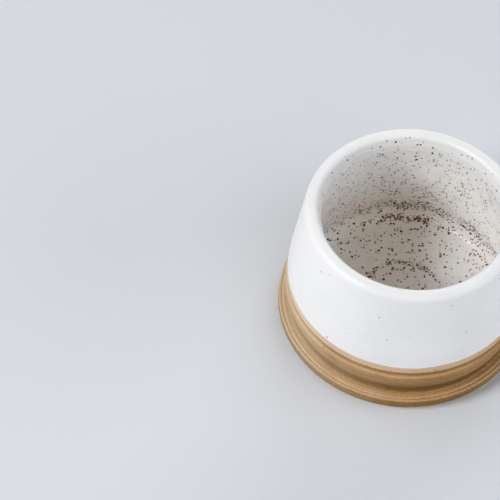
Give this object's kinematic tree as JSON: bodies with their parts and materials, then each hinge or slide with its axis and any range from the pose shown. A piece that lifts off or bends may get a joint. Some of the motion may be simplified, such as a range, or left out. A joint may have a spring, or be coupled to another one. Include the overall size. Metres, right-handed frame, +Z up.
{
  "type": "handleless mug",
  "caption": "Round tapering stoneware mug without a handle: white glazed wall, speckled glazed inside and a wide turned foot of bare clay, for holding drinks.",
  "frame": {"origin": "centre of the foot, on the surface that the mug stands on", "axes": "+Z up along the turning axis and out of the mouth; X and Y are any two level directions, because the mug is round"},
  "size_m": [0.0998, 0.0998, 0.065],
  "materials": {
    "raw_clay": "unglazed tan stoneware with fine turning lines, dull",
    "white_glaze": "plain white glaze, satin to glossy, with a few faint specks",
    "speckled_glaze": "warm white glossy glaze with brown iron specks"
  },
  "bodies": {
    "root": {"clay_body": "raw_clay", "outer_glaze": "white_glaze", "liner_glaze": "speckled_glaze"}
  },
  "joints": []
}
